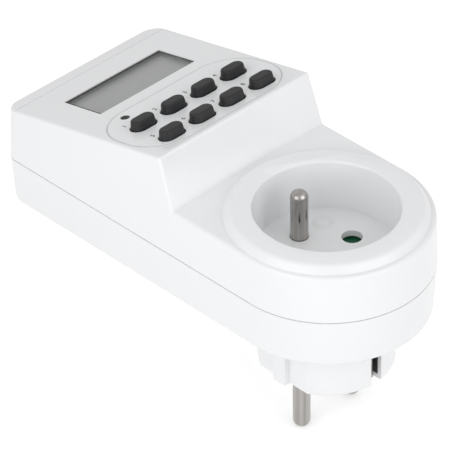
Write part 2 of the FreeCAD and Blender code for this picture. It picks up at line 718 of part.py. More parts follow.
def panel_block(name, grow, low, high):
    """The key panel's outline between two depths, grown by a clearance."""
    low_edge = c.panel_low - grow
    high_edge = c.panel_high + grow
    block = box(name + "_block", (-panel_half - grow, low_edge, low), (panel_half + grow, high_edge, high))
    corner = c.panel_corner + grow
    return round_edges(name, block, corner, lambda edge: edge.BoundBox.ZLength > 0.9 * (high - low).value)


def key_prism(name, across, along, grow, low, high, taper=None):
    """An upright bar with round ends in console coordinates."""
    body = new_body(name)
    outline = round_bar_outline(body, name + "_outline", low, c.key_long + 2 * grow,
                                c.key_wide + 2 * grow, across, along)
    pad(body, outline, size(high) - low, taper)
    return body


def make_socket():
    """The floor of the socket with its skirt, and the carrier of the contacts below it."""
    radius = insert_radius - c.insert_gap
    base = rod("floor_disc", radius, 0, 0, skirt_level, floor_level)
    room = rod("skirt_room", radius - c.skirt_wall, 0, 0, skirt_level - c.wall, floor_level - c.floor_thick)
    holes = [rod("contact_hole_%d" % side, c.contact_hole_radius, side * pin_across, 0,
                 skirt_level, floor_level + c.wall) for side in (-1, 1)]
    holes.append(rod("earth_pin_way", c.pin_radius + c.pin_gap, 0, c.earth_offset, skirt_level,
                     floor_level + c.wall))
    socket_base = cut("socket_base", base, room, *holes)

    block = box("carrier_block", (-c.carrier_half, -c.carrier_front, flange_level),
                (c.carrier_half, c.carrier_rear, carrier_level + c.carrier_flange / 2))
    disc = rod("carrier_disc", radius, 0, 0, carrier_level, skirt_level)
    pivot = rod("shutter_pivot", c.pivot_radius, 0, 0, carrier_level, floor_level - c.floor_thick - c.bar_gap)
    wells = [rod("sleeve_well_%d" % side, c.sleeve_radius + c.sleeve_gap, side * pin_across, 0,
                 sleeve_low - c.sleeve_seat, skirt_level + c.wall) for side in (-1, 1)]
    branch = [box("branch_way_%d" % side,
                  (branch_near(side) - c.bar_gap, c.sleeve_radius - c.branch_bite, bar_level - c.bar_gap),
                  (branch_near(side) + c.bar_width + c.bar_gap, c.carrier_rear + c.wall,
                   bar_level + c.bar_thick + c.bar_gap)) for side in (-1, 1)]
    middle = box("earth_bar_way",
                 (-c.clip_half - c.bar_gap, -c.carrier_front - c.wall, c.earth_bar_level - c.bar_gap),
                 (c.clip_half + c.bar_gap, c.carrier_rear + c.wall,
                  c.earth_bar_level + c.bar_thick + c.bar_gap))
    earth_way = rod("carrier_earth_way", c.pin_radius + c.fit_gap / 2, 0, c.earth_offset, 0,
                    skirt_level + c.wall)
    carrier = cut("contact_carrier", fuse("carrier_joined", block, disc, pivot), middle, earth_way,
                  *(wells + branch))
    return [socket_base, carrier]


def branch_near(side):
    """Lower X of the strip that leaves a contact sleeve on one side."""
    inner = pin_across - c.branch_inset
    return inner if side > 0 else -inner - c.bar_width


def supply_near(side):
    """Lower X of the strip that rises from a plug pin on one side."""
    outer = pin_across + c.supply_offset
    return outer if side > 0 else -outer - c.bar_width


def make_contacts():
    """Sleeves, plug pins and bus bars of the two poles."""
    made = []
    for side, pole in ((-1, "neutral"), (1, "live")):
        sleeve = rod(pole + "_sleeve_tube", c.sleeve_radius, side * pin_across, 0, sleeve_low, sleeve_high)
        bore = rod(pole + "_sleeve_bore", c.sleeve_radius - c.sleeve_wall, side * pin_across, 0,
                   sleeve_low + c.bar_thick, sleeve_high + c.wall)
        middle = side * pin_across
        slit = box(pole + "_sleeve_slit",
                   (middle - c.slit_half, -c.sleeve_radius - c.wall, sleeve_low + c.slit_low),
                   (middle + c.slit_half, 0, sleeve_high + c.wall))
        made.append(cut(pole + "_socket_contact", sleeve, bore, slit))
        shank = rod(pole + "_pin_shank", c.pin_radius, side * pin_across, 0, -c.pin_length, 0)
        tip = round_edges(pole + "_pin_tip", shank, c.pin_radius * c.pin_tip, at_level(-c.pin_length))
        neck = rod(pole + "_pin_neck", c.pin_radius - c.pin_neck, side * pin_across, 0, 0, c.boss_wall)
        collar = rod(pole + "_pin_collar", c.pin_flange_radius, side * pin_across, 0, c.boss_wall,
                     flange_level - c.bar_thick)
        made.append(fuse(pole + "_plug_pin", tip, neck, collar))
        supply = supply_near(side)
        low = flange_level - c.bar_thick
        rise = c.carrier_rear + c.bar_rise
        bar_end = c.power_near + c.bar_lap
        under_board = c.power_level - c.bar_thick
        made.append(fuse(pole + "_supply_bar",
                         box(pole + "_supply_foot", (supply, -c.supply_foot, low),
                             (supply + c.bar_width, rise + c.bar_thick, flange_level)),
                         box(pole + "_supply_rise", (supply, rise, low),
                             (supply + c.bar_width, rise + c.bar_thick, c.power_level)),
                         box(pole + "_supply_run", (supply, rise, under_board),
                             (supply + c.bar_width, bar_end, c.power_level))))
        branch = branch_near(side)
        start = c.sleeve_radius
        drop = c.power_near - c.bar_step
        made.append(fuse(pole + "_output_bar",
                         box(pole + "_output_run", (branch, start, bar_level),
                             (branch + c.bar_width, drop + c.bar_thick, bar_level + c.bar_thick)),
                         box(pole + "_output_step", (branch, drop, bar_level),
                             (branch + c.bar_width, drop + c.bar_thick, c.power_level)),
                         box(pole + "_output_end", (branch, drop, c.power_level - c.bar_thick),
                             (branch + c.bar_width, bar_end, c.power_level))))
    return made


def make_earth():
    """Earth pin of the socket, the bar below it and the two side clips of the plug."""
    foot = floor_level + c.earth_pin_step
    top = floor_level + c.earth_pin_length
    shank = round_edges("earth_pin_tip", rod("earth_pin_shank", c.pin_radius, 0, c.earth_offset, foot, top),
                        c.pin_radius * c.pin_tip, at_level(top))
    neck = rod("earth_pin_neck", c.pin_radius - c.pin_neck, 0, c.earth_offset,
               c.earth_bar_level + c.bar_thick, foot)
    made = [fuse("socket_earth_pin", shank, neck)]
    made.append(box("earth_bar", (-c.clip_half, -bar_reach, c.earth_bar_level),
                    (c.clip_half, bar_reach, c.earth_bar_level + c.bar_thick)))
    inner = groove_back + c.fit_gap
    outer = inner + c.clip_thick
    lap = bar_reach - c.clip_lap
    strips = both_ways("clip_strip", c.clip_half, inner, outer, c.clip_low, c.earth_bar_level)
    bends = both_ways("clip_bend", c.clip_half, lap, outer, c.earth_bar_level - c.clip_thick,
                      c.earth_bar_level)
    for name, strip, bend in zip(("nose_earth_clip", "tail_earth_clip"), strips, bends):
        made.append(fuse(name, strip, bend))
    return made


def make_shutter():
    """The two-bladed shutter that turns under the contact holes, and its spring."""
    low = skirt_level + c.shutter_gap
    high = low + c.shutter_thick
    blades = common("shutter_blades",
                    box("shutter_bar", (-c.shutter_reach, -c.shutter_half, low),
                        (c.shutter_reach, c.shutter_half, high)),
                    rod("shutter_round", c.shutter_reach, 0, 0, low, high))
    solid = fuse("shutter_solid", blades, rod("shutter_hub_disc", c.shutter_hub, 0, 0, low, high))
    shutter = cut("shutter", solid,
                  rod("shutter_bore", c.pivot_radius + c.pivot_gap, 0, 0, low - c.wall, high + c.wall),
                  rod("coil_room", c.coil_outer + c.shutter_gap, 0, 0, low - c.wall, low + c.coil_height))
    coil_top = skirt_level + c.coil_height
    coil = cut("shutter_spring", rod("coil_solid", c.coil_outer, 0, 0, skirt_level, coil_top),
               rod("coil_hole", c.coil_inner, 0, 0, skirt_level - c.wall, coil_top + c.wall))
    return [shutter, coil]


def make_display():
    """Lens, display glass, its frame and the contact strip below it."""
    rim = c.lens_rim
    lens_low = -c.lens_top - c.lens_thick
    lens = box("display_lens", (-window_half - rim, c.window_low - rim, lens_low),
               (window_half + rim, c.window_high + rim, -c.lens_top))
    glass_low = lens_low - c.glass_thick
    glass = box("display_glass", (-window_half - rim, c.window_low - rim, glass_low),
                (window_half + rim, c.window_high + rim, lens_low))
    outer = rim + c.frame_rim
    block = box("frame_block", (-window_half - outer, c.window_low - outer, -c.board_depth),
                (window_half + outer, c.window_high + outer, glass_low + c.glass_thick / 2))
    seat = box("frame_seat", (-window_half - rim - c.fit_gap, c.window_low - rim - c.fit_gap, glass_low),
               (window_half + rim + c.fit_gap, c.window_high + rim + c.fit_gap, 0))
    inside = box("frame_inside", (-window_half, c.window_low, -c.board_depth - c.wall),
                 (window_half, c.window_high, 0))
    frame = cut("display_frame", block, seat, inside)
    strip_near = c.window_low + c.strip_near
    strip = box("contact_strip", (-window_half + c.strip_inset, strip_near, -c.board_depth),
                (window_half - c.strip_inset, strip_near + c.strip_wide, glass_low))
    return [on_console(piece) for piece in (lens, glass, frame, strip)]


def make_keys():
    """Key panel, eight keys, the reset button and the contact mat under them."""
    panel_top = c.panel_proud
    deep = -3 * c.wall
    panel = panel_block("key_panel_block", size(0), -c.panel_thick, panel_top)
    ways = [key_prism(name + "_hole", across, along, c.key_flare + c.key_gap, deep, c.wall)
            for name, across, along in key_places]
    ways.append(rod("reset_hole", c.reset_radius + c.key_gap / 2, -c.reset_across, c.reset_along,
                    deep, c.wall))
    made = [cut("key_panel", panel, *ways)]
    mat_top = -c.board_depth + c.mat_thick
    foot = mat_top + c.key_travel + c.key_seat
    collar_top = -c.wall - c.key_rest
    key_top = panel_top + c.key_height
    flare = atan(c.key_flare / c.key_height)
    for name, across, along in key_places:
        cap = key_prism(name + "_cap", across, along, c.key_flare, panel_top, key_top, -flare)
        cap = round_edges(name + "_round", cap, c.key_edge, at_level(key_top))
        stem = key_prism(name + "_stem", across, along, c.key_flare, foot, panel_top)
        collar = key_prism(name + "_collar", across, along, c.key_flare + c.key_flange, foot, collar_top)
        made.append(fuse(name, cap, stem, collar))
    made.append(fuse("reset_button",
                     rod("reset_stem", c.reset_radius, -c.reset_across, c.reset_along, foot,
                         panel_top - c.reset_low),
                     rod("reset_collar", c.reset_radius + c.key_flange, -c.reset_across, c.reset_along,
                         foot, collar_top)))
    made.append(box("contact_mat", (-panel_half + c.wall, c.control_low, -c.board_depth),
                    (panel_half - c.wall, c.panel_high, mat_top)))
    return [on_console(piece) for piece in made]


def on_board(name, left, along, wide, long, high, edge=None):
    """A component that stands on the power board, its top edges rounded if asked."""
    top = c.power_level + c.board_thick
    near = c.power_near + along
    if edge is None:
        return box(name, (left, near, top), (left + wide, near + long, top + high))
    block = box(name + "_block", (left, near, top), (left + wide, near + long, top + high))
    return round_edges(name, block, edge, at_level(top + high))


def round_on_board(name, across, along, radius, high):
    """A round component that stands on the power board."""
    top = c.power_level + c.board_thick
    can = rod(name + "_can", radius, across, c.power_near + along, top, top + high)
    return round_edges(name, can, c.case_edge, at_level(top + high))


def make_boards():
    """Control board under the console face, power board in the back, and what they carry."""
    low = -c.board_depth - c.board_thick
    hole = c.small_screw + c.small_hole
    control = box("control_blank", (-control_half, c.control_low, low),
                  (control_half, c.control_high, -c.board_depth))
    control = cut("control_board", control,
                  *[rod("control_hole_%d" % number, hole, x, y, low - c.wall, 0)
                    for number, (x, y) in enumerate(control_posts)])
    chip_near = c.control_low + c.chip_along
    chip = box("microcontroller", (-c.chip_side / 2, chip_near, low - c.chip_high),
               (c.chip_side / 2, chip_near + c.chip_side, low))
    crystal_near = c.control_low + c.crystal_along
    crystal = box("quartz_crystal", (c.crystal_left, crystal_near, low - c.crystal_wide),
                  (c.crystal_left + c.crystal_wide, crystal_near + c.crystal_long, low))
    made = [on_console(piece) for piece in (control, chip, crystal)]
    top = c.power_level + c.board_thick
    power = box("power_blank", (-power_half, c.power_near, c.power_level), (power_half, c.power_far, top))
    made.append(cut("power_board", power,
                    *[rod("power_hole_%d" % number, hole, x, y, c.power_level - c.wall, top + c.wall)
                      for number, (x, y) in enumerate(power_posts)]))
    made.append(on_board("relay", c.relay_left, c.relay_along, c.relay_wide, c.relay_long, c.relay_high,
                         c.case_edge))
    made.append(on_board("film_capacitor", c.film_left, c.film_along, c.film_wide, c.film_long, c.film_high,
                         c.case_edge))
    made.append(round_on_board("smoothing_capacitor", c.can_across, c.can_along, c.can_radius, c.can_high))
    made.append(round_on_board("backup_battery", c.cell_across, c.cell_along, c.cell_radius, c.cell_high))
    made.append(on_board("surge_limiter", c.limiter_left, c.limiter_along, c.limiter_thick, c.limiter_long,
                         c.limiter_long, c.case_edge))
    made.append(on_board("bridge_rectifier", c.bridge_left, c.bridge_along, c.bridge_wide, c.bridge_long,
                         c.bridge_high))
    made.append(on_board("dropper_resistor", c.dropper_left, c.can_along + c.can_radius + c.dropper_gap,
                         c.dropper_long, c.dropper_thick, c.dropper_thick))
    ribbon_place = c.ridge_place + (c.control_high - c.ribbon_inset) * cos(c.tilt)
    ribbon_top = face_level(ribbon_place) + low / cos(c.tilt) - c.ribbon_gap
    made.append(box("board_ribbon", (-c.ribbon_half, ribbon_place - c.ribbon_thick, top),
                    (c.ribbon_half, ribbon_place, ribbon_top)))
    return made


def make_screws():
    """Groups of equal screws: housing, power board and control board."""
    housing = []
    seat = back_level + c.screw_well
    for number, (x, y) in enumerate(screw_places()):
        face = seat - c.head_high
        head = rod("screw_head_%d" % number, c.screw_head, x, y, face, seat)
        drive = box("screw_drive_%d" % number, (x - c.drive_reach, y - c.drive_half, face - c.wall),
                    (x + c.drive_reach, y + c.drive_half, face + c.drive_deep))
        cross = box("screw_cross_%d" % number, (x - c.drive_half, y - c.drive_reach, face - c.wall),
                    (x + c.drive_half, y + c.drive_reach, face + c.drive_deep))
        shank = rod("screw_shank_%d" % number, c.screw_radius - c.thread_fit, x, y, seat,
                    part_level + c.screw_bite)
        housing.append(cut("screw_%d" % number, fuse("screw_blank_%d" % number, head, shank), drive, cross))
    power = []
    top = c.power_level + c.board_thick
    thread = c.small_screw - c.thread_fit
    for number, (x, y) in enumerate(power_posts):
        power.append(fuse("power_screw_%d" % number,
                          rod("power_head_%d" % number, c.small_head, x, y, top, top + c.small_head_high),
                          rod("power_shank_%d" % number, thread, x, y, back_floor + c.pilot_spare, top)))
    control = []
    low = -c.board_depth - c.board_thick
    for number, (x, y) in enumerate(control_posts):
        control.append(fuse("control_screw_%d" % number,
                            rod("control_head_%d" % number, c.small_head, x, y, low - c.small_head_high, low),
                            rod("control_shank_%d" % number, thread, x, y, low, -c.wall - c.pilot_spare)))
    return [group("housing_screws", housing), group("power_board_screws", power),
            on_console(group("control_board_screws", control))]


def group(name, pieces):
    """Several separate solids under one name."""
    made = doc.addObject("Part::Compound", name)
    made.Links = pieces
    return made


pieces = [make_front_cover(), make_rear_cover()]
pieces += make_socket()
pieces += make_contacts()
pieces += make_earth()
pieces += make_shutter()
pieces += make_display()
pieces += make_keys()
pieces += make_boards()
pieces += make_screws()
doc.recompute()

for piece in doc.Objects:
    if "Invalid" in piece.State or "Error" in piece.State:
        raise RuntimeError("failed: " + piece.Name)

os.makedirs("parts", exist_ok=True)
for piece in pieces:
    shape = piece.Shape
    if shape.isNull() or not shape.isValid():
        raise RuntimeError("bad shape: " + piece.Label)
    shape.exportStep("parts/%s.step" % piece.Label)
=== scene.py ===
"""Looks of the plug-in timer switch: finishes, soft edges, printed numbers, light and camera."""
import bmesh
import bpy
from math import cos, pi, radians, sin
from mathutils import Matrix, Vector


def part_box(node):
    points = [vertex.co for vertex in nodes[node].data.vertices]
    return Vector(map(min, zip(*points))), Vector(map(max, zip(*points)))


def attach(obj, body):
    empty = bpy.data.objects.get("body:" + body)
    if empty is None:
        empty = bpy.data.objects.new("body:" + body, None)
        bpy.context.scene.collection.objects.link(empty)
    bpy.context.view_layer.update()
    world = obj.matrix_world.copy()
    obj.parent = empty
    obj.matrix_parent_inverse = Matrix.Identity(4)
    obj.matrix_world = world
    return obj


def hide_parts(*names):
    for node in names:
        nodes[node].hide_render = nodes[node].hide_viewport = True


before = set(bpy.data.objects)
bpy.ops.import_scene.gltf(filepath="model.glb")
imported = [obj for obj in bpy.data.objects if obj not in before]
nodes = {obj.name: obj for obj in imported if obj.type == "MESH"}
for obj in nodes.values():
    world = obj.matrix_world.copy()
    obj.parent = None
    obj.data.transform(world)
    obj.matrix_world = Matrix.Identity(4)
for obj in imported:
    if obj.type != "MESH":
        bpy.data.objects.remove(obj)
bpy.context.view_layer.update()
MM = 0.001
HOUSING = "housing"

# the view of the photograph, found from the standard sizes of socket and pins
VIEW_AZIMUTH = radians(-43.88)
VIEW_HEIGHT = radians(36.63)
VIEW_ROLL = radians(-1.06)
VIEW_DISTANCE = 1.0204
VIEW_SHIFT_RIGHT = -26.49 * MM
VIEW_SHIFT_UP = 7.77 * MM
FOCAL_LENGTH = 313.4
PARTING_LEVEL = 32.7 * MM

# the sloping face of the console
FACE_TILT = radians(12.4)
FACE_ORIGIN = Vector((0.0, 33.5, 60.9)) * MM

# the stage: a floor just under the plug pins, soft surroundings and two lamps
FLOOR_LEVEL = -19.2 * MM
FLOOR_SIZE = 6.0
FLOOR_SHADE = 0.93
FLOOR_LIFT = 0.3
WORLD_STRENGTH = 0.72
LAMP_AIM = Vector((0.0, 0.03, 0.03))
# name, azimuth and height in degrees, distance and side in metres, power in watts
LAMPS = (("front_lamp", 5, 23, 0.9, 0.7, 1.92), ("left_lamp", -80, 24, 0.45, 0.35, 0.56))

# how a CAD node's mesh is made ready for its soft edges
MERGE_DISTANCE = 0.002 * MM
FLAT_ANGLE = radians(0.4)
SHARP_ANGLE = radians(28.0)
EDGE_STEPS = 3

# places of the colour sockets on a Mix node, whose names are shared with its other kinds
MIX_AMOUNT, MIX_COLOUR, MIX_TINT, MIX_RESULT = 0, 6, 7, 2

# how fast the shade of plastic and the polish of metal change over the surface, per metre
CLOUD_SCALE = 38.0
PATCH_SCALE = 240.0
# drawn lines run upright, and darken the metal by this tint: partly real drawn lines, partly painted
# reflection in upright bands
LINE_STRETCH = (1.0, 1.0, 0.02)
LINE_AND_REFLECTION_TINT = (0.74, 0.73, 0.72)
BLACK = (0.0, 0.0, 0.0)

# the key panel and the display window, in millimetres on the console face
PANEL_HALF = 26.0
PANEL_NEAR = 1.9
PANEL_FAR = 29.0
PANEL_CORNER = 12.0
KEYS_IN_ROW = 4
KEY_PITCH = 11.0
KEY_ROW_NEAR = 6.7
KEY_ROW_FAR = 17.8
WINDOW_NEAR = 33.9
WINDOW_FAR = 48.7
WINDOW_HALF = 17.5

# the printed numbers, from the middle of their key
NUMBER_ACROSS = -3.0
NUMBER_ALONG = 4.2
NUMBER_LEVEL = 0.17
NUMBER_SIZE = 2.1
NUMBER_THICK = 0.015

# the bead in the groove of the key panel, grey with the groove's painted shade
BEAD_OUT = 0.175
BEAD_RADIUS = 0.165
BEAD_STEPS = 10
CORNER_STEPS = 14

# painted shade: a black strip round the display window, below the console face, for the shadow gap at its
# edges
SHADE_STRIP_WIDE = 0.75
SHADE_STRIP_SLIM = 0.25
SHADE_STRIP_TOP = -0.3
SHADE_STRIP_THICK = 0.09

# the rings on the socket floor
RING_PLACE = (8.6, 9.7)
RING_RADII = (2.7, 1.9)
RING_HALF = 0.12
RING_RISE = 0.06
RING_STEPS = 48

# the black sheet of painted shade in the shaded room behind each earth clip, from the plug's axis
SHADE_SHEET_HALF = 1.89
SHADE_SHEET_THICK = 0.06
SHADE_SHEET_BACK = 14.07
SHADE_SHEET_FRONT = 16.9
SHADE_SHEET_LOW = 1.45
SHADE_SHEET_HIGH = 17.9

# the coil of the shutter spring
COIL_TURNS = 4.0
COIL_RADIUS = 2.3
COIL_WIRE = 0.18
COIL_STEPS = 28
WIRE_STEPS = 10


def face_matrix():
    """Turns console coordinates (across, along the slope, above the face) into the frame."""
    return Matrix.Translation(FACE_ORIGIN) @ Matrix.Rotation(-FACE_TILT, 4, "X")


# shader groups, one for each effect that several finishes share

def new_group(name, inputs, outputs):
    """An empty shader group with named sockets, and the nodes at its two ends."""
    group = bpy.data.node_groups.new(name, "ShaderNodeTree")
    for label, kind, value in inputs:
        made = group.interface.new_socket(label, in_out="INPUT", socket_type=kind)
        if value is not None:
            made.default_value = value
    for label, kind in outputs:
        group.interface.new_socket(label, in_out="OUTPUT", socket_type=kind)
    return group, group.nodes.new("NodeGroupInput"), group.nodes.new("NodeGroupOutput")


def noise(group, vector, scale, detail=2.0):
    """A soft noise; its scale is a number or another node's output."""
    made = group.nodes.new("ShaderNodeTexNoise")
    made.inputs["Detail"].default_value = detail
    group.links.new(vector, made.inputs["Vector"])
    if isinstance(scale, float):
        made.inputs["Scale"].default_value = scale
    else:
        group.links.new(scale, made.inputs["Scale"])
    return made.outputs["Fac"]


def stretched(group, value, low, high):
    """Stretches the middle of a noise, from low to high, to the whole range."""
    made = group.nodes.new("ShaderNodeMapRange")
    made.inputs["From Min"].default_value = low
    made.inputs["From Max"].default_value = high
    group.links.new(value, made.inputs["Value"])
    return made


def tinted(group, amount, colour, tint):
    """The colour, multiplied by the tint as far as the amount says."""
    made = group.nodes.new("ShaderNodeMix")
    made.data_type = "RGBA"
    made.blend_type = "MULTIPLY"
    made.inputs[MIX_TINT].default_value = (*tint, 1.0)
    group.links.new(amount, made.inputs[MIX_AMOUNT])
    group.links.new(colour, made.inputs[MIX_COLOUR])
    return made.outputs[MIX_RESULT]


def rough_between(group, source, value, low, high):
    """A roughness that wanders between the group's two inputs."""
    spread = stretched(group, value, low, high)
    group.links.new(source.outputs["Roughness Low"], spread.inputs["To Min"])
    group.links.new(source.outputs["Roughness High"], spread.inputs["To Max"])
    return spread.outputs["Result"]


def moulded_skin_group():
    """Fine eroded grain of an injection mould: a roughness, a height and a slight change of shade."""
    group, source, result = new_group(
        "moulded_skin",
        [("Vector", "NodeSocketVector", None), ("Grain Scale", "NodeSocketFloat", 2600.0),
         ("Roughness Low", "NodeSocketFloat", 0.3), ("Roughness High", "NodeSocketFloat", 0.42),
         ("Colour", "NodeSocketColor", (0.8, 0.8, 0.8, 1.0)), ("Shade", "NodeSocketFloat", 0.03)],
        [("Roughness", "NodeSocketFloat"), ("Height", "NodeSocketFloat"), ("Colour", "NodeSocketColor")])
    link = group.links.new
    place = source.outputs["Vector"]
    grain = noise(group, place, source.outputs["Grain Scale"], detail=3.0)
    flow = noise(group, place, CLOUD_SCALE)
    amount = group.nodes.new("ShaderNodeMath")
    amount.operation = "MULTIPLY"
    link(flow, amount.inputs[0])
    link(source.outputs["Shade"], amount.inputs[1])
    shade = tinted(group, amount.outputs["Value"], source.outputs["Colour"], BLACK)
    link(rough_between(group, source, flow, 0.3, 0.7), result.inputs["Roughness"])
    link(grain, result.inputs["Height"])
    link(shade, result.inputs["Colour"])
    return group


def drawn_metal_group():
    """Drawn lines along an upright pin that darken it in bands, partly real and partly painted reflection,
    with a few dull patches from use.
    """
    group, source, result = new_group(
        "drawn_metal",
        [("Vector", "NodeSocketVector", None), ("Line Scale", "NodeSocketFloat", 900.0),
         ("Roughness Low", "NodeSocketFloat", 0.16), ("Roughness High", "NodeSocketFloat", 0.34),
         ("Colour", "NodeSocketColor", (0.6, 0.58, 0.55, 1.0))],
        [("Roughness", "NodeSocketFloat"), ("Height", "NodeSocketFloat"), ("Colour", "NodeSocketColor")])
    link = group.links.new
    place = source.outputs["Vector"]
    upright = group.nodes.new("ShaderNodeVectorMath")
    upright.operation = "MULTIPLY"
    upright.inputs[1].default_value = LINE_STRETCH
    link(place, upright.inputs[0])
    lines = noise(group, upright.outputs["Vector"], source.outputs["Line Scale"])
    patches = noise(group, place, PATCH_SCALE)
    # painted reflection: upright darker bands in the metal's colour, partly real drawn lines
    line_and_reflection_band = stretched(group, lines, 0.35, 0.65).outputs["Result"]
    link(rough_between(group, source, patches, 0.35, 0.65), result.inputs["Roughness"])
    link(lines, result.inputs["Height"])
    link(tinted(group, line_and_reflection_band, source.outputs["Colour"], LINE_AND_REFLECTION_TINT), result.inputs["Colour"])
    return group


MOULDED = moulded_skin_group()
DRAWN = drawn_metal_group()


def finish_with(name, group, values, bump_depth, constants):
    """A material whose colour, roughness and bump come from a shared group."""
    material = bpy.data.materials.new(name)
    material.use_nodes = True
    tree = material.node_tree
    shader = tree.nodes["Principled BSDF"]
    place = tree.nodes.new("ShaderNodeTexCoord")
    effect = tree.nodes.new("ShaderNodeGroup")
    effect.node_tree = group
    for label, value in values.items():
        effect.inputs[label].default_value = value
    bump = tree.nodes.new("ShaderNodeBump")
    bump.inputs["Distance"].default_value = bump_depth
    bump.inputs["Strength"].default_value = 1.0
    tree.links.new(place.outputs["Object"], effect.inputs["Vector"])
    tree.links.new(effect.outputs["Colour"], shader.inputs["Base Color"])
    tree.links.new(effect.outputs["Roughness"], shader.inputs["Roughness"])
    tree.links.new(effect.outputs["Height"], bump.inputs["Height"])
    tree.links.new(bump.outputs["Normal"], shader.inputs["Normal"])
    for label, value in constants.items():
        shader.inputs[label].default_value = value
    return material


def plastic(name, colour, low, high, grain=2600.0, bump=0.000004, shade=0.03):
    """A moulded plastic: its roughness runs from low to high, its bump is in metres."""
    return finish_with(name, MOULDED,
                       {"Grain Scale": grain, "Roughness Low": low, "Roughness High": high,
                        "Colour": (*colour, 1.0), "Shade": shade},
                       bump, {"IOR": 1.5})


def metal(name, colour, low, high, bump=0.000003):
    """A drawn metal, with the same measures as a plastic."""
    return finish_with(name, DRAWN,
                       {"Roughness Low": low, "Roughness High": high, "Colour": (*colour, 1.0)},
                       bump, {"Metallic": 1.0})


def clear_plastic(name):
    """Thin clear window: mostly see-through, with a faint gloss."""
    made = plastic(name, (0.9, 0.93, 0.93), 0.05, 0.07, bump=0.0000001, shade=0.02)
    made.node_tree.nodes["Principled BSDF"].inputs["Alpha"].default_value = 0.1
    return made


WHITE = plastic("white_satin", (0.86, 0.865, 0.875), 0.2, 0.27, shade=0.02)
WHITE_INSERT = plastic("white_insert", (0.86, 0.865, 0.87), 0.2, 0.28, shade=0.02)
# the bead is mid grey, not white: painted shade of the groove round the key panel
BEAD_GROOVE_SHADE = plastic("bead_groove_shade", (0.6, 0.605, 0.61), 0.25, 0.3, shade=0.02)
KEY_GREY = plastic("key_dark_grey", (0.0105, 0.011, 0.013), 0.5, 0.6,
                   grain=1700.0, bump=0.00007, shade=0.35)
GLASS_GREY = plastic("display_grey", (0.38, 0.385, 0.38), 0.28, 0.32,
                     grain=900.0, bump=0.0000002, shade=0.04)
# plain black of the display frame, also the colour of the painted shade pieces at the window and behind the
# earth clips
HOLDER_BLACK_AND_SHADE = plastic("holder_black_and_shade", (0.03, 0.03, 0.03), 0.5, 0.6)
SHUTTER_GREEN = plastic("shutter_green", (0.001, 0.09, 0.035), 0.35, 0.45)
CARRIER_CREAM = plastic("carrier_cream", (0.72, 0.71, 0.67), 0.5, 0.6)
MAT_RUBBER = plastic("mat_rubber", (0.12, 0.12, 0.125), 0.7, 0.85)
BOARD_GREEN = plastic("board_green", (0.02, 0.12, 0.035), 0.35, 0.5, grain=1200.0)
PACKAGE_BLACK = plastic("package_black", (0.02, 0.02, 0.02), 0.45, 0.6)
RELAY_BLUE = plastic("relay_blue", (0.02, 0.06, 0.28), 0.35, 0.45)
CAPACITOR_YELLOW = plastic("capacitor_yellow", (0.6, 0.45, 0.05), 0.25, 0.35)
CERAMIC_PALE = plastic("ceramic_pale", (0.65, 0.6, 0.5), 0.7, 0.85, bump=0.00001)
LIMITER_BLUE = plastic("limiter_blue", (0.03, 0.12, 0.4), 0.4, 0.5)
RIBBON_GREY = plastic("ribbon_grey", (0.45, 0.45, 0.44), 0.5, 0.6)
PRINT_GREY = plastic("print_grey", (0.025, 0.025, 0.028), 0.5, 0.6)
CLEAR = clear_plastic("display_clear")
NICKEL = metal("bright_nickel", (0.45, 0.435, 0.42), 0.08, 0.22)
BRASS = metal("spring_brass", (0.75, 0.55, 0.22), 0.25, 0.4)
ZINC = metal("zinc_steel", (0.5, 0.5, 0.51), 0.3, 0.45)
SPRING_STEEL = metal("spring_steel", (0.45, 0.45, 0.46), 0.25, 0.4)


# pieces

def link_object(name, mesh, material):
    """An object of its own for a mesh in one finish."""
    made = bpy.data.objects.new(name, mesh)
    bpy.context.scene.collection.objects.link(made)
    mesh.materials.clear()
    mesh.materials.append(material)
    return made


def apply_modifiers(made):
    """Turns an object's evaluated shape into its plain mesh."""
    view = bpy.context.evaluated_depsgraph_get()
    mesh = bpy.data.meshes.new_from_object(made.evaluated_get(view))
    made.modifiers.clear()
    made.data = mesh
    return made


def dressed(node, body, material, edge):
    """A merged copy of a CAD node with soft edges of that many millimetres, which stands for the node."""
    work = bmesh.new()
    work.from_mesh(nodes[node].data)
    bmesh.ops.remove_doubles(work, verts=work.verts, dist=MERGE_DISTANCE)
    bmesh.ops.dissolve_limit(work, angle_limit=FLAT_ANGLE, verts=work.verts, edges=work.edges)
    mesh = bpy.data.meshes.new(node + "_dressed")
    work.to_mesh(mesh)
    work.free()
    made = link_object(node + "_dressed", mesh, material)
    mesh.shade_smooth()
    mesh.set_sharp_from_angle(angle=SHARP_ANGLE)
    if edge:
        bevel = made.modifiers.new("soft edge", "BEVEL")
        bevel.width = edge * MM
        bevel.segments = EDGE_STEPS
        bevel.limit_method = "ANGLE"
        bevel.angle_limit = SHARP_ANGLE
        bevel.harden_normals = True
        bevel.use_clamp_overlap = True
        made = apply_modifiers(made)
    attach(made, body)
    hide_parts(node)


dressed("front_cover", HOUSING, WHITE, edge=0.3)
dressed("rear_cover", HOUSING, WHITE, edge=0.25)
dressed("key_panel", HOUSING, WHITE, edge=0.12)
dressed("socket_base", HOUSING, WHITE_INSERT, edge=0.15)
dressed("socket_earth_pin", HOUSING, NICKEL, edge=0.0)
for pole in ("live", "neutral"):
    dressed(pole + "_plug_pin", HOUSING, NICKEL, edge=0.1)
for end in ("nose", "tail"):
    dressed(end + "_earth_clip", HOUSING, NICKEL, edge=0.1)
dressed("housing_screws", HOUSING, ZINC, edge=0.08)
dressed("shutter", "shutter_body", SHUTTER_GREEN, edge=0.15)
for row in ("near", "far"):
    for number in range(1, 5):
        key = "key_%s_%d" % (row, number)
        dressed(key, key, KEY_GREY, edge=0.12)
dressed("reset_button", "reset_button", KEY_GREY, edge=0.12)

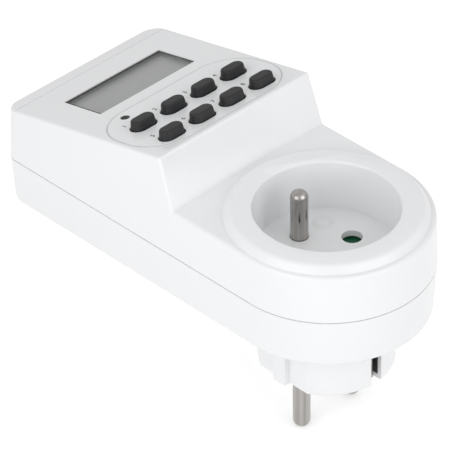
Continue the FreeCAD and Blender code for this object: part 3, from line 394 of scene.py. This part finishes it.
FINISHES = {
    "display_lens": CLEAR, "display_glass": GLASS_GREY, "display_frame": HOLDER_BLACK_AND_SHADE,
    "contact_strip": MAT_RUBBER, "contact_mat": MAT_RUBBER, "control_board": BOARD_GREEN,
    "power_board": BOARD_GREEN, "microcontroller": PACKAGE_BLACK, "bridge_rectifier": PACKAGE_BLACK,
    "quartz_crystal": ZINC, "relay": RELAY_BLUE, "film_capacitor": CAPACITOR_YELLOW,
    "smoothing_capacitor": PACKAGE_BLACK, "backup_battery": ZINC, "surge_limiter": LIMITER_BLUE,
    "dropper_resistor": CERAMIC_PALE, "board_ribbon": RIBBON_GREY, "contact_carrier": CARRIER_CREAM,
    "live_socket_contact": BRASS, "neutral_socket_contact": BRASS, "live_supply_bar": BRASS,
    "neutral_supply_bar": BRASS, "live_output_bar": BRASS, "neutral_output_bar": BRASS,
    "earth_bar": BRASS, "power_board_screws": ZINC, "control_board_screws": ZINC,
}
for node, material in FINISHES.items():
    carried = nodes[node]
    carried.data.materials.clear()
    carried.data.materials.append(material)


def spring_coil():
    """The shutter's torsion coil, wound by a node tree round the pivot."""
    low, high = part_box("shutter_spring")
    wire = COIL_WIRE * MM
    tree = bpy.data.node_groups.new("wound_coil", "GeometryNodeTree")
    tree.interface.new_socket("Geometry", in_out="OUTPUT", socket_type="NodeSocketGeometry")
    sizes = (("Turns", COIL_TURNS), ("Radius", COIL_RADIUS * MM),
             ("Height", (high[2] - low[2]) - 2 * wire), ("Wire", wire))
    for label, value in sizes:
        socket = tree.interface.new_socket(label, in_out="INPUT", socket_type="NodeSocketFloat")
        socket.default_value = value
    source = tree.nodes.new("NodeGroupInput")
    result = tree.nodes.new("NodeGroupOutput")
    spiral = tree.nodes.new("GeometryNodeCurveSpiral")
    spiral.inputs["Resolution"].default_value = COIL_STEPS
    section = tree.nodes.new("GeometryNodeCurvePrimitiveCircle")
    section.inputs["Resolution"].default_value = WIRE_STEPS
    sweep = tree.nodes.new("GeometryNodeCurveToMesh")
    sweep.inputs["Fill Caps"].default_value = True
    place = tree.nodes.new("GeometryNodeTransform")
    place.inputs["Translation"].default_value = (0.0, 0.0, low[2] + wire)
    smooth = tree.nodes.new("GeometryNodeSetShadeSmooth")
    real = tree.nodes.new("GeometryNodeRealizeInstances")
    paint = tree.nodes.new("GeometryNodeSetMaterial")
    paint.inputs["Material"].default_value = SPRING_STEEL
    link = tree.links.new
    link(source.outputs["Turns"], spiral.inputs["Rotations"])
    link(source.outputs["Radius"], spiral.inputs["Start Radius"])
    link(source.outputs["Radius"], spiral.inputs["End Radius"])
    link(source.outputs["Height"], spiral.inputs["Height"])
    link(source.outputs["Wire"], section.inputs["Radius"])
    link(spiral.outputs["Curve"], sweep.inputs["Curve"])
    link(section.outputs["Curve"], sweep.inputs["Profile Curve"])
    link(sweep.outputs["Mesh"], place.inputs["Geometry"])
    link(place.outputs["Geometry"], smooth.inputs["Geometry"])
    link(smooth.outputs["Geometry"], real.inputs["Geometry"])
    link(real.outputs["Geometry"], paint.inputs["Geometry"])
    link(paint.outputs["Geometry"], result.inputs["Geometry"])
    made = link_object("shutter_coil", bpy.data.meshes.new("shutter_coil"), SPRING_STEEL)
    made.modifiers.new("coil", "NODES").node_group = tree
    apply_modifiers(made)
    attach(made, HOUSING)
    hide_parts("shutter_spring")


spring_coil()


# pieces that only the scene has

def riding_piece(name, work, material, smooth=False):
    """Turns a finished outline into an object that rides on the housing."""
    bmesh.ops.recalc_face_normals(work, faces=work.faces)
    mesh = bpy.data.meshes.new(name)
    work.to_mesh(mesh)
    work.free()
    if smooth:
        mesh.shade_smooth()
    made = link_object(name, mesh, material)
    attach(made, HOUSING)


def join_loops(work, loops):
    """Joins each closed loop of points to the next one, and the last to the first."""
    count = len(loops[0])
    for here, there in zip(loops, loops[1:] + loops[:1]):
        for step in range(count):
            after = (step + 1) % count
            work.faces.new((here[step], here[after], there[after], there[step]))


def round_turns(count):
    """Equal turns once round, in radians."""
    return [2 * pi * step / count for step in range(count)]


def printed_number(text, across, along):
    """A plain printed number lying on the key panel."""
    name = "printed_number_" + text
    curve = bpy.data.curves.new(name, "FONT")
    curve.body = text
    curve.size = NUMBER_SIZE * MM
    curve.align_x = "CENTER"
    curve.align_y = "CENTER"
    curve.extrude = NUMBER_THICK * MM
    written = bpy.data.objects.new(name + "_text", curve)
    bpy.context.scene.collection.objects.link(written)
    view = bpy.context.evaluated_depsgraph_get()
    mesh = bpy.data.meshes.new_from_object(written.evaluated_get(view))
    bpy.data.objects.remove(written)
    mesh.transform(Matrix.Translation(Vector((across, along, NUMBER_LEVEL)) * MM))
    mesh.transform(face_matrix())
    made = link_object(name, mesh, PRINT_GREY)
    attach(made, HOUSING)


def printed_numbers():
    """The numbers 1 to 8, one beside each key."""
    for along, first in ((KEY_ROW_FAR, 1), (KEY_ROW_NEAR, 1 + KEYS_IN_ROW)):
        for number in range(KEYS_IN_ROW):
            middle = (number - (KEYS_IN_ROW - 1) / 2) * KEY_PITCH
            printed_number(str(first + number), middle + NUMBER_ACROSS, along + NUMBER_ALONG)


def plain_rings():
    """Two thin raised rings on the socket floor, between the earth pin and a contact hole."""
    floor_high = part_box("socket_base")[1][2]
    work = bmesh.new()
    for radius in RING_RADII:
        loops = []
        for out, rise in ((RING_HALF, 0.0), (RING_HALF / 2, RING_RISE), (-RING_HALF / 2, RING_RISE),
                          (-RING_HALF, 0.0)):
            reach = radius + out
            loops.append([work.verts.new(((RING_PLACE[0] + reach * cos(turn)) * MM,
                                          (RING_PLACE[1] + reach * sin(turn)) * MM,
                                          floor_high + rise * MM))
                          for turn in round_turns(RING_STEPS)])
        join_loops(work, loops)
    riding_piece("floor_rings", work, WHITE_INSERT, smooth=True)


def window_shade_strip():
    """Painted shade round the display window: a black strip for its shadow gap, wider along the far and left
    edges.
    """
    near, far, half = WINDOW_NEAR, WINDOW_FAR, WINDOW_HALF
    outer = ((-half, near), (half, near), (half, far), (-half, far))
    inner = ((-half + SHADE_STRIP_WIDE, near + SHADE_STRIP_SLIM), (half - SHADE_STRIP_SLIM, near + SHADE_STRIP_SLIM),
             (half - SHADE_STRIP_SLIM, far - SHADE_STRIP_WIDE), (-half + SHADE_STRIP_WIDE, far - SHADE_STRIP_WIDE))
    low = SHADE_STRIP_TOP - SHADE_STRIP_THICK
    work = bmesh.new()
    rounds = ((outer, SHADE_STRIP_TOP), (inner, SHADE_STRIP_TOP), (inner, low), (outer, low))
    join_loops(work, [[work.verts.new(face_matrix() @ (Vector((x, y, level)) * MM)) for x, y in loop]
                      for loop, level in rounds])
    riding_piece("window_shade_strip", work, HOLDER_BLACK_AND_SHADE)


def panel_outline():
    """Places and outward directions along the groove round the key panel."""
    low, high = PANEL_NEAR - BEAD_OUT, PANEL_FAR + BEAD_OUT
    corner = PANEL_CORNER + BEAD_OUT
    reach = PANEL_HALF + BEAD_OUT - corner
    centres = ((reach, high - corner), (-reach, high - corner), (-reach, low + corner), (reach, low + corner))
    for quarter, (x, y) in enumerate(centres):
        for step in range(CORNER_STEPS + 1):
            turn = (quarter + step / CORNER_STEPS) * pi / 2
            out = Vector((cos(turn), sin(turn), 0.0))
            yield Vector((x, y, 0.0)) + corner * out, out


def panel_bead():
    """A soft bead in the groove round the key panel, mid grey for the groove's painted shade."""
    work = bmesh.new()
    loops = []
    for place, out in panel_outline():
        loops.append([])
        for turn in round_turns(BEAD_STEPS):
            offset = out * (BEAD_RADIUS * cos(turn)) + Vector((0.0, 0.0, BEAD_RADIUS * sin(turn)))
            loops[-1].append(work.verts.new(face_matrix() @ ((place + offset) * MM)))
    join_loops(work, loops)
    riding_piece("panel_bead", work, BEAD_GROOVE_SHADE, smooth=True)


def pocket_shade_sheets():
    """Painted shade: a black sheet in the shaded room behind each earth clip."""
    sheets = ((-SHADE_SHEET_HALF, SHADE_SHEET_HALF, SHADE_SHEET_BACK, SHADE_SHEET_BACK + SHADE_SHEET_THICK),
              (-SHADE_SHEET_HALF, SHADE_SHEET_THICK - SHADE_SHEET_HALF, SHADE_SHEET_BACK, SHADE_SHEET_FRONT),
              (SHADE_SHEET_HALF - SHADE_SHEET_THICK, SHADE_SHEET_HALF, SHADE_SHEET_BACK, SHADE_SHEET_FRONT))
    work = bmesh.new()
    for end in (-1, 1):
        for left, right, near, far in sheets:
            middle = Vector((left + right, end * (near + far), SHADE_SHEET_LOW + SHADE_SHEET_HIGH)) / 2
            wide = Vector((right - left, far - near, SHADE_SHEET_HIGH - SHADE_SHEET_LOW))
            shape = Matrix.Translation(middle * MM) @ Matrix.Diagonal((*(wide * MM), 1.0))
            bmesh.ops.create_cube(work, size=1.0, matrix=shape)
    riding_piece("pocket_shade_sheets", work, HOLDER_BLACK_AND_SHADE)


printed_numbers()
plain_rings()
window_shade_strip()
panel_bead()
pocket_shade_sheets()


# stage, light and camera

def outward(azimuth, height):
    """The direction from the object to a lamp or the camera."""
    return Vector((sin(azimuth) * cos(height), -cos(azimuth) * cos(height), sin(height)))


def seen_directly(tree):
    """1 where the camera, a gloss or a clear surface looks at the surface, else 0."""
    path = tree.nodes.new("ShaderNodeLightPath")
    camera_or_gloss = tree.nodes.new("ShaderNodeMath")
    camera_or_gloss.operation = "MAXIMUM"
    any_look = tree.nodes.new("ShaderNodeMath")
    any_look.operation = "MAXIMUM"
    tree.links.new(path.outputs["Is Camera Ray"], camera_or_gloss.inputs[0])
    tree.links.new(path.outputs["Is Glossy Ray"], camera_or_gloss.inputs[1])
    tree.links.new(camera_or_gloss.outputs["Value"], any_look.inputs[0])
    tree.links.new(path.outputs["Is Transmission Ray"], any_look.inputs[1])
    return any_look.outputs["Value"]


def staged_floor():
    """A white floor: the camera sees it a little brighter than its light alone makes it."""
    bpy.ops.mesh.primitive_plane_add(size=FLOOR_SIZE, location=(0.0, 0.0, FLOOR_LEVEL))
    floor = bpy.context.object
    floor.name = "studio_floor"
    material = bpy.data.materials.new("studio_floor")
    material.use_nodes = True
    tree = material.node_tree
    shader = tree.nodes["Principled BSDF"]
    shader.inputs["Base Color"].default_value = (*[FLOOR_SHADE] * 3, 1.0)
    shader.inputs["Roughness"].default_value = 1.0
    shader.inputs["Specular IOR Level"].default_value = 0.0
    shader.inputs["Emission Color"].default_value = (1.0, 1.0, 1.0, 1.0)
    lift = tree.nodes.new("ShaderNodeMath")
    lift.operation = "MULTIPLY"
    lift.inputs[1].default_value = FLOOR_LIFT
    tree.links.new(seen_directly(tree), lift.inputs[0])
    tree.links.new(lift.outputs["Value"], shader.inputs["Emission Strength"])
    floor.data.materials.append(material)


def white_world():
    """Soft white surroundings: plain light on the object, pure white behind it."""
    world = bpy.data.worlds.new("studio")
    bpy.context.scene.world = world
    world.use_nodes = True
    tree = world.node_tree
    lit = tree.nodes["Background"]
    lit.inputs["Color"].default_value = (1.0, 1.0, 1.0, 1.0)
    lit.inputs["Strength"].default_value = WORLD_STRENGTH
    shown = tree.nodes.new("ShaderNodeBackground")
    shown.inputs["Strength"].default_value = 1.0
    mix = tree.nodes.new("ShaderNodeMixShader")
    tree.links.new(seen_directly(tree), mix.inputs["Fac"])
    tree.links.new(lit.outputs["Background"], mix.inputs[1])
    tree.links.new(shown.outputs["Background"], mix.inputs[2])
    tree.links.new(mix.outputs["Shader"], tree.nodes["World Output"].inputs["Surface"])


def soft_lamp(name, azimuth, height, distance, side, power):
    """A large square lamp that looks at the middle of the object."""
    data = bpy.data.lights.new(name, "AREA")
    data.size = side
    data.energy = power
    lamp = bpy.data.objects.new(name, data)
    bpy.context.scene.collection.objects.link(lamp)
    away = outward(radians(azimuth), radians(height))
    lamp.location = LAMP_AIM + away * distance
    lamp.rotation_euler = away.to_track_quat("Z", "Y").to_euler()


def photo_camera():
    """The camera of the photograph: far away with a long lens."""
    data = bpy.data.cameras.new("photo_camera")
    data.lens = FOCAL_LENGTH
    data.sensor_width = 36.0
    data.clip_end = 20.0
    camera = bpy.data.objects.new("photo_camera", data)
    bpy.context.scene.collection.objects.link(camera)
    back = outward(VIEW_AZIMUTH, VIEW_HEIGHT)
    level = Vector((cos(VIEW_AZIMUTH), sin(VIEW_AZIMUTH), 0.0))
    up = back.cross(level)
    right = level * cos(VIEW_ROLL) + up * sin(VIEW_ROLL)
    up = back.cross(right)
    turn = Matrix((right, up, back)).transposed().to_4x4()
    place = Vector((0.0, 0.0, PARTING_LEVEL)) + back * VIEW_DISTANCE
    place += right * VIEW_SHIFT_RIGHT + up * VIEW_SHIFT_UP
    camera.matrix_world = Matrix.Translation(place) @ turn
    bpy.context.scene.camera = camera


staged_floor()
white_world()
for lamp in LAMPS:
    soft_lamp(*lamp)
photo_camera()
bpy.context.scene.view_settings.view_transform = "Standard"
